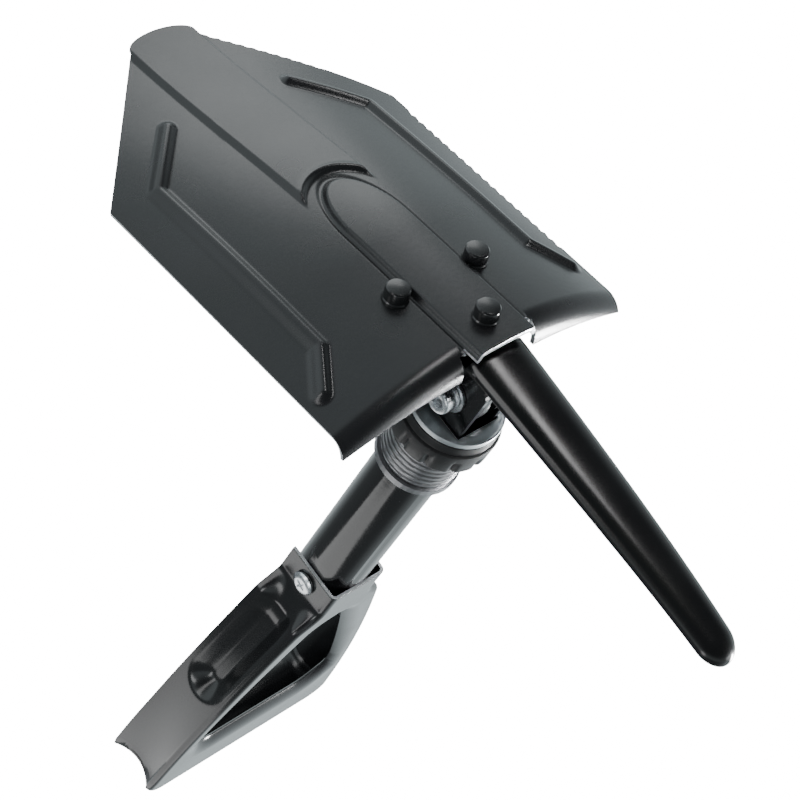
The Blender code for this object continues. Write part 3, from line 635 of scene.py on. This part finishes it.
def make_sleeve():
    """Sleeve with a rolled thread, plain at both ends."""
    heights = np.linspace(SLEEVE_TOP - 0.8, SLEEVE_LOW + 0.8, 150)

    def thread(radius, height, turn):
        if radius < 17.0 or height > SLEEVE_TOP - 0.5 or height < SLEEVE_LOW + 0.5:
            return radius + 0.0 * turn
        wave = ((height / THREAD_PITCH) - turn / (2.0 * math.pi)) % 1.0
        return THREAD_R - THREAD_DEPTH * smoothstep(0.18, 0.42, np.abs(wave - 0.5))

    profile = [(16.4, SLEEVE_TOP)]
    profile += [(THREAD_R, h) for h in heights]
    profile += [(16.6, SLEEVE_LOW), (15.35, SLEEVE_LOW), (15.35, SLEEVE_TOP)]
    item = lathe("threaded_sleeve_skin", profile, sides=96, shape=thread)
    fix_normals(item)
    smooth(item, 40.0)
    place(item, "shaft", (STEEL,), ("threaded_sleeve",))


def make_bolt():
    """Barrel head: fine ribs round the side and a hexagonal socket in the end."""
    def barrel(radius, _, turn):
        if radius < 3.2:
            folded = (turn + math.pi / 6.0) % (math.pi / 3.0) - math.pi / 6.0
            return radius * math.cos(math.pi / 6.0) / np.cos(folded)
        if 5.5 < radius < 5.68:
            return radius - 0.12 * (0.5 + 0.5 * np.cos(36.0 * turn))
        return radius + 0.0 * turn

    profile = [
        (0.0, -16.9), (2.9, -16.9), (3.0, -19.2), (3.3, -19.45), (4.7, -19.5), (5.2, -19.3), (5.5, -18.9),
        (5.65, -18.6), (5.65, -14.0), (5.5, -13.6), (5.7, -13.2), (5.7, -12.7), (4.0, -12.7), (4.0, 17.6),
        (3.4, 18.5), (0.0, 18.5),
    ]
    item = lathe("hinge_bolt_skin", [(r, -h) for r, h in profile], "X", (0.0, 0.0, PIN_Z), 96, barrel)
    fix_normals(item)
    smooth(item, 35.0)
    place(item, "shaft", (ZINC,), ("hinge_bolt",))


def make_tube():
    """Drawn tube with flats and a rounded end inside the grip, cut from a plain ring."""
    profile = [
        (TUBE_R - 0.3, TUBE_TOP), (TUBE_R, TUBE_TOP - 0.3), (TUBE_R, TUBE_LOW), (TUBE_BORE, TUBE_LOW),
        (TUBE_BORE, TUBE_TOP - 0.3), (TUBE_BORE + 0.3, TUBE_TOP),
    ]
    item = lathe("shaft_skin", profile, sides=128)
    fix_normals(item)
    cutters = []
    for x in (-1.0, 1.0):
        cutters.append(block((x * (TUBE_FLAT_X + 2.5), 0.0, TUBE_FLAT_TOP[0] - 19.0), (5.0, 40.0, 38.0)))
    cutters.append(block((0.0, TUBE_FLAT_Y - 3.0, TUBE_FLAT_TOP[1] - 17.5), (40.0, 6.0, 35.0)))
    cutters.append(end_rounder())
    hole = [(0.0, 20.0), (TUBE_HOLE_R, 20.0), (TUBE_HOLE_R, -20.0), (0.0, -20.0)]
    cutters.append(lathe("hole", hole, "X", (0.0, 0.0, PIVOT_Z), 48))
    cut_away(item, cutters)
    smooth(item, 30.0)
    place(item, "shaft", (GLOSS,), ("shaft_tube",))


def block(centre, size):
    x, y, z = (s / 2.0 for s in size)
    corners = [(a * x, b * y, c * z) for a in (-1, 1) for b in (-1, 1) for c in (-1, 1)]
    points = np.array(corners) + np.array(centre)
    faces = [(0, 1, 3, 2), (4, 6, 7, 5), (0, 4, 5, 1), (2, 3, 7, 6), (0, 2, 6, 4), (1, 5, 7, 3)]
    return new_object("cutter", points, faces)


def end_rounder():
    """Everything below a half circle round the grip's bolt, as a prism along X."""
    turn = np.linspace(0.0, -math.pi, 33)
    below = TUBE_LOW - 5.0
    outline = [(20.0, below), (20.0, PIVOT_Z)]
    outline += [(TUBE_END_R * math.cos(a), PIVOT_Z + TUBE_END_R * math.sin(a)) for a in turn]
    outline += [(-20.0, PIVOT_Z), (-20.0, below)]
    count = len(outline)
    points = [(x, y, z) for x in (-30.0, 30.0) for y, z in outline]
    faces = [tuple(range(count)), tuple(range(2 * count - 1, count - 1, -1))]
    faces += [(i, (i + 1) % count, count + (i + 1) % count, count + i) for i in range(count)]
    return new_object("cutter", points, faces)


# ---------------------------------------------------------------- D-grip

GRIP_TOP = 177.0
BACK_Y = -16.0
FRONT_Y = 14.0
BAR = 36.0  # height of the back strip along the hand bar
BAR_CORNER = 15.0
BAR_HALF = 58.5  # the arm's curve aims at this half width
BAR_END = 58.3  # the rounded corners start from this one
CHEEK_HALF = 15.85
CHEEK_LOW = 162.0
FLARE_END = 149.0
WINDOW_TOP = 150.0
WINDOW_CLOSE = 12.0  # length of the rounded upper end of the window
STRIP = 12.0  # width of the back strip along the arms, and how it widens upwards
STRIP_GAIN = 8.0
STRIP_LOW = 60.0
STRIP_LENGTH = 80.0
CORNER = 12.0
SHEET = 1.5
FOLD = 3.2
ROLL_REACH = 10.0  # the back strip's curl: how wide, how much of a quarter circle, how deep
ROLL_SHARE = 0.94
ROLL_DEPTH = 5.5
RECESS = 7.0
RECESS_Y = -0.75
RECESS_HALF = 12.6
RECESS_LOW = 83.0
RECESS_SLOPE = 10.5
RECESS_RAMP = (140.0, 163.0)  # the recess runs out to the flat cheek between these heights
HOLLOW = 4.8
HOLLOW_HALF = 13.8
HOLLOW_TOP = 92.0
HOLLOW_FADE = 80.0
BARE_AND_HIGHLIGHT_RIM_Z = 174.0  # the cut edge is light grey above this height only: bare metal with a painted highlight


def arm_half(z):
    """Outside of the grip from its middle line: flat cheeks, a quick flare, then a long curve to the bar."""
    share = np.clip((GRIP_TOP - z) / GRIP_TOP, 0.0, 1.0)
    curve = (BAR_HALF - CHEEK_HALF) * (1.0 - (1.0 - share) ** 1.6)
    return CHEEK_HALF + curve * smoothstep(0.0, 1.0, (CHEEK_LOW - z) / (CHEEK_LOW - FLARE_END))


def recess_floor(z):
    low, high = RECESS_RAMP
    start = arm_half(low) - RECESS
    ramp = start + (CHEEK_HALF - start) * smoothstep(low, high, z)
    return np.where(z > low, ramp, arm_half(z) - RECESS)


def outer_path():
    """Right half of the outside, from the top corner down the arm and round to the middle of the bar."""
    arm = np.linspace(GRIP_TOP, CORNER + 4.0, 150)
    points = [(float(arm_half(z)), float(z)) for z in arm]
    corner_x = BAR_END - CORNER
    turn = np.linspace(0.12, math.pi / 2.0, 22)
    points += [(corner_x + CORNER * math.cos(a), CORNER - CORNER * math.sin(a)) for a in turn]
    points += [(x, 0.0) for x in np.linspace(corner_x, 0.0, 48)[1:]]
    return np.array(points)


def window_side(z):
    """Half the window in the back: widest at the bar and closing towards the bolt."""
    strip = STRIP + STRIP_GAIN * min(1.0, max(0.0, (z - STRIP_LOW) / STRIP_LENGTH))
    full = float(arm_half(z)) - strip
    closing = min(1.0, max(0.0, (WINDOW_TOP - z) / WINDOW_CLOSE))
    return max(0.0, full) * math.sqrt(1.0 - (1.0 - closing) ** 2)


def window_point(z, share):
    """Point on the window's edge for a point of the outside; share runs from 0 at the top to 1 mid bar."""
    low = BAR + BAR_CORNER
    if z >= WINDOW_TOP:
        return 0.0, z
    if z > low:
        return window_side(z), z
    corner = window_side(low) - BAR_CORNER
    if share < 1.0 / 3.0:
        height = low - 1.5 * share * BAR_CORNER
        drop = (low - height) / BAR_CORNER
        return corner + BAR_CORNER * math.sqrt(max(0.0, 1.0 - drop * drop)), height
    if share < 2.0 / 3.0:
        angle = math.radians(30.0) + (share * 3.0 - 1.0) * math.radians(60.0)
        return corner + BAR_CORNER * math.cos(angle), low - BAR_CORNER * math.sin(angle)
    return corner * (1.0 - (share * 3.0 - 2.0)), BAR


def window_roll(z, inside, width):
    """How far the back strip curls towards the front near the window's edge."""
    reach = min(ROLL_REACH, 0.75 * width)
    share = ROLL_SHARE * min(1.0, max(0.0, 1.0 - inside / reach))
    depth = ROLL_DEPTH * float(smoothstep(0.0, 9.0, np.array(WINDOW_TOP - z)))
    return depth * (1.0 - math.sqrt(1.0 - share * share))


def make_grip():
    """Pressed D-grip as one sheet: back strip, fold, and a deep wall with a recess and a hollow bar."""
    path = outer_path()
    step = np.gradient(path, axis=0)
    step /= np.linalg.norm(step, axis=1)[:, None]
    inward = np.stack([step[:, 1], -step[:, 0]], 1)
    inward[inward[:, 0] * path[:, 0] + inward[:, 1] * (path[:, 1] - 70.0) > 0.0] *= -1.0
    strip = np.linspace(0.0, 1.0, 34, endpoint=False) ** 1.25
    bend = np.linspace(0.0, math.pi / 2.0, 8)
    wall = np.linspace(BACK_Y + FOLD, FRONT_Y, 46)[1:]
    rows = []
    low_start = int(np.argmax(path[:, 1] <= BAR + BAR_CORNER))
    for i, ((x, z), (nx, nz)) in enumerate(zip(path, inward)):
        window = window_point(z, max(0, i - low_start) / (len(path) - 1 - low_start))
        start = (x + nx * FOLD, z + nz * FOLD)
        row = []
        width = math.hypot(start[0] - window[0], start[1] - window[1])
        for q in strip:
            y = BACK_Y + window_roll(window[1], q * width, width)
            row.append((window[0] + (start[0] - window[0]) * q, y, window[1] + (start[1] - window[1]) * q))
        for a in bend:
            inset = FOLD * (1.0 - math.sin(a))
            row.append((x + nx * inset, BACK_Y + FOLD * (1.0 - math.cos(a)), z + nz * inset))
        for y in wall:
            depth = wall_depth(x, y, z)
            row.append((x + nx * depth, y, z + nz * depth))
        rows.append(row)
    half = np.array(rows)
    other = half[::-1][1:] * np.array([-1.0, 1.0, 1.0])
    whole = np.concatenate([half, other])
    item = new_object("grip_sheet", whole.reshape(-1, 3), grid_faces(whole.shape[0], whole.shape[1]))
    clean_mesh(item, 0.00001, 0.000001)
    thicken(item, SHEET, offset=flip_offset(item), even=False)
    soften(item, 0.18, 2, 60.0)
    bake_modifiers(item)
    smooth(item, 50.0)
    # Below the top rim the cut edge takes the grip coat; only the top rim keeps the painted highlight.
    for face in item.data.polygons:
        if face.center.z < BARE_AND_HIGHLIGHT_RIM_Z * MM:
            face.material_index = 0
    place(item, "grip", (GRIP_COAT, GRIP_BARE_EDGE_AND_HIGHLIGHT), ("grip_frame",))


def wall_depth(x, y, z):
    """How far the wall is pressed in: the arm's recess, and the hollow across the hand bar."""
    beyond = max(0.0, RECESS_LOW + RECESS_HALF - z)
    distance = RECESS_HALF - math.hypot(abs(y - RECESS_Y), beyond * 0.85)
    mask = float(smoothstep(0.0, RECESS_SLOPE, np.array(distance)))
    recess = mask * max(0.0, x - float(recess_floor(np.array(z))))
    fade = float(smoothstep(0.0, 1.0, np.array((HOLLOW_TOP - z) / HOLLOW_FADE)))
    hollow = HOLLOW * fade * max(0.0, 1.0 - ((y - 0.5) / HOLLOW_HALF) ** 2)
    return recess + hollow


def flip_offset(item):
    """Solidify has to grow to the inside whichever way the sheet's faces point."""
    face = max(item.data.polygons, key=lambda f: f.center.x)
    return -1.0 if face.normal.x > 0.0 else 1.0


SLOT = (3.2, 5.4, 1.0)
SLOT_X = -19.0
SLOT_TURN = 0.35


def make_grip_bolt():
    """Pan-head screw with a cross slot."""
    profile = [
        (0.0, -18.6), (3.0, -18.6), (4.2, -18.5), (5.2, -17.9), (5.8, -17.3), (5.85, -16.6), (5.7, -16.1),
        (3.0, -16.1), (3.0, 19.6), (2.5, 20.2), (0.0, 20.2),
    ]
    item = lathe("grip_screw", [(r, -h) for r, h in profile], "X", (0.0, 0.0, PIVOT_Z), 96)
    fix_normals(item)
    cutters = []
    for turn in (SLOT_TURN, SLOT_TURN + math.pi / 2.0):
        cutter = block((0.0, 0.0, 0.0), SLOT)
        at = Matrix.Translation((SLOT_X * MM, 0.0, PIVOT_Z * MM))
        cutter.data.transform(at @ Matrix.Rotation(turn, 4, "X"))
        cutters.append(cutter)
    cut_away(item, cutters)
    soften(item, 0.12, 2, 50.0)
    bake_modifiers(item)
    smooth(item, 35.0)
    place(item, "grip", (ZINC,), ("grip_bolt",))


# ---------------------------------------------------------------- pieces carried over from the CAD

CARRIED = {
    "blade_bracket": (SEMI, 0.4),
    "pick_bracket": (SEMI, 0.3),
    "hinge_yoke": (GLOSS, 0.5),
    "hinge_washer_left": (ZINC, 0.15),
    "hinge_washer_right": (ZINC, 0.15),
    "hinge_bushing": (STEEL, 0.2),
    "hinge_nut": (ZINC, 0.3),
    "grip_bolt_nut": (ZINC, 0.3),
    "grip_spacer": (STEEL, 0.2),
    "stop_ring": (STEEL, 0.3),
    "yoke_cross_pin": (STEEL, 0.3),
    "tube_end_block": (PLASTIC, 0.3),
}


def dress_cad_nodes():
    for name, (material, edge) in CARRIED.items():
        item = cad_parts[name]
        item.data.materials.clear()
        item.data.materials.append(material)
        smooth(item, 32.0)
        soften(item, edge, 2, 40.0)


# ---------------------------------------------------------------- stage, light and camera

FLOOR_HALF = 6000.0
FLOOR_Z = -0.4
SKY_STRENGTH = 1.4
FLOOR_GLOW = 16.0  # the floor and the backdrop show as plain white
SKY_DARK = (0.07, 0.077, 0.082)
SKY_BRIGHT = (0.87, 0.975, 1.0)


def make_stage():
    points = [(x * FLOOR_HALF, y * FLOOR_HALF, FLOOR_Z) for x, y in ((-1, -1), (1, -1), (1, 1), (-1, 1))]
    floor = new_object("floor", points, [(0, 1, 2, 3)])
    material, _, shader = new_material("pale_floor", 0.6)
    shader.inputs["Base Color"].default_value = (0.93, 0.93, 0.93, 1.0)
    shader.inputs["Emission Color"].default_value = (1.0, 1.0, 1.0, 1.0)
    shader.inputs["Emission Strength"].default_value = FLOOR_GLOW
    floor.visible_glossy = False
    floor.visible_diffuse = False
    floor.data.materials.append(material)


def make_world():
    """Studio sky: a large bright side towards +Y, a fainter band at the horizon and dark overhead.

    Below the horizon it brightens towards +X. The camera itself sees plain white instead.
    """
    world = bpy.data.worlds.new("studio")
    bpy.context.scene.world = world
    world.use_nodes = True
    tree = world.node_tree
    background = tree.nodes["Background"]
    background.inputs["Strength"].default_value = SKY_STRENGTH
    coords = tree.nodes.new("ShaderNodeTexCoord")
    parts = tree.nodes.new("ShaderNodeSeparateXYZ")
    tree.links.new(coords.outputs["Generated"], parts.inputs["Vector"])
    side = link_range(tree, parts.outputs["Y"], 0.0, 1.0, 0.36, 0.72)
    band = link_range(tree, parts.outputs["Z"], 0.55, 0.0, 0.22, 0.58)
    above = link_range(tree, parts.outputs["Z"], 0.0, 1.0, -0.06, 0.04)
    upper = link_math(tree, "MULTIPLY", link_math(tree, "ADD", side, band), above)
    below = link_math(tree, "SUBTRACT", 1.0, above)
    lower = link_math(tree, "MULTIPLY", link_range(tree, parts.outputs["X"], 0.10, 1.0, -0.15, 0.5), below)
    glow = link_math(tree, "ADD", upper, lower)
    tree.links.new(link_colour(tree, glow, SKY_DARK, SKY_BRIGHT), background.inputs["Color"])
    plain = tree.nodes.new("ShaderNodeBackground")
    plain.inputs["Color"].default_value = (1.0, 1.0, 1.0, 1.0)
    plain.inputs["Strength"].default_value = FLOOR_GLOW
    seen = tree.nodes.new("ShaderNodeMixShader")
    tree.links.new(tree.nodes.new("ShaderNodeLightPath").outputs["Is Camera Ray"], seen.inputs["Fac"])
    tree.links.new(background.outputs["Background"], seen.inputs[1])
    tree.links.new(plain.outputs["Background"], seen.inputs[2])
    tree.links.new(seen.outputs["Shader"], tree.nodes["World Output"].inputs["Surface"])


def area_light(name, place_at, target, size, power):
    light = bpy.data.lights.new(name, "AREA")
    light.shape = "RECTANGLE"
    light.size, light.size_y = size
    light.energy = power
    item = bpy.data.objects.new(name, light)
    bpy.context.scene.collection.objects.link(item)
    item.location = place_at
    away = Vector(target) - Vector(place_at)
    item.rotation_euler = away.to_track_quat("-Z", "Y").to_euler()


CAMERA_AT = (-0.5245, -0.1810, 0.9795)
CAMERA_AIM = (-0.0358, 0.0063, 0.33)
CAMERA_ROLL = math.radians(35.9)


def make_camera():
    camera = bpy.data.cameras.new("camera")
    camera.lens = 99.7
    camera.sensor_width = 36.0
    item = bpy.data.objects.new("camera", camera)
    bpy.context.scene.collection.objects.link(item)
    aim = (Vector(CAMERA_AIM) - Vector(CAMERA_AT)).to_track_quat("-Z", "Y").to_matrix().to_4x4()
    item.matrix_world = Matrix.Translation(CAMERA_AT) @ aim @ Matrix.Rotation(CAMERA_ROLL, 4, "Z")
    bpy.context.scene.camera = item


make_blade()
for rivet in RIVETS:
    make_rivet(*rivet)
make_pick()
make_disc()
make_nut()
make_sleeve()
make_bolt()
make_tube()
make_grip()
make_grip_bolt()
dress_cad_nodes()

make_stage()
make_world()
area_light("key", (1.1, 1.7, 1.2), (0.0, 0.05, 0.3), (1.2, 0.8), 7.0)
area_light("side", (-1.6, 0.4, 1.1), (0.0, 0.0, 0.3), (0.5, 1.6), 9.0)
area_light("strip", (0.62, 0.40, 2.25), (0.0, -0.07, 0.33), (0.22, 0.9), 8.0)
area_light("flange", (0.54, -0.55, 0.16), (0.05, -0.01, 0.33), (0.12, 0.34), 24.0)
area_light("card", (-0.135, -0.01, 0.001), (-0.135, -0.01, 1.0), (0.15, 0.17), 0.17)
area_light("low", (-1.9, -0.9, 0.45), (0.0, 0.0, 0.1), (0.5, 0.9), 7.0)
area_light("back", (1.2, -1.6, 0.75), (0.0, 0.0, 0.3), (1.1, 0.5), 8.0)
make_camera()
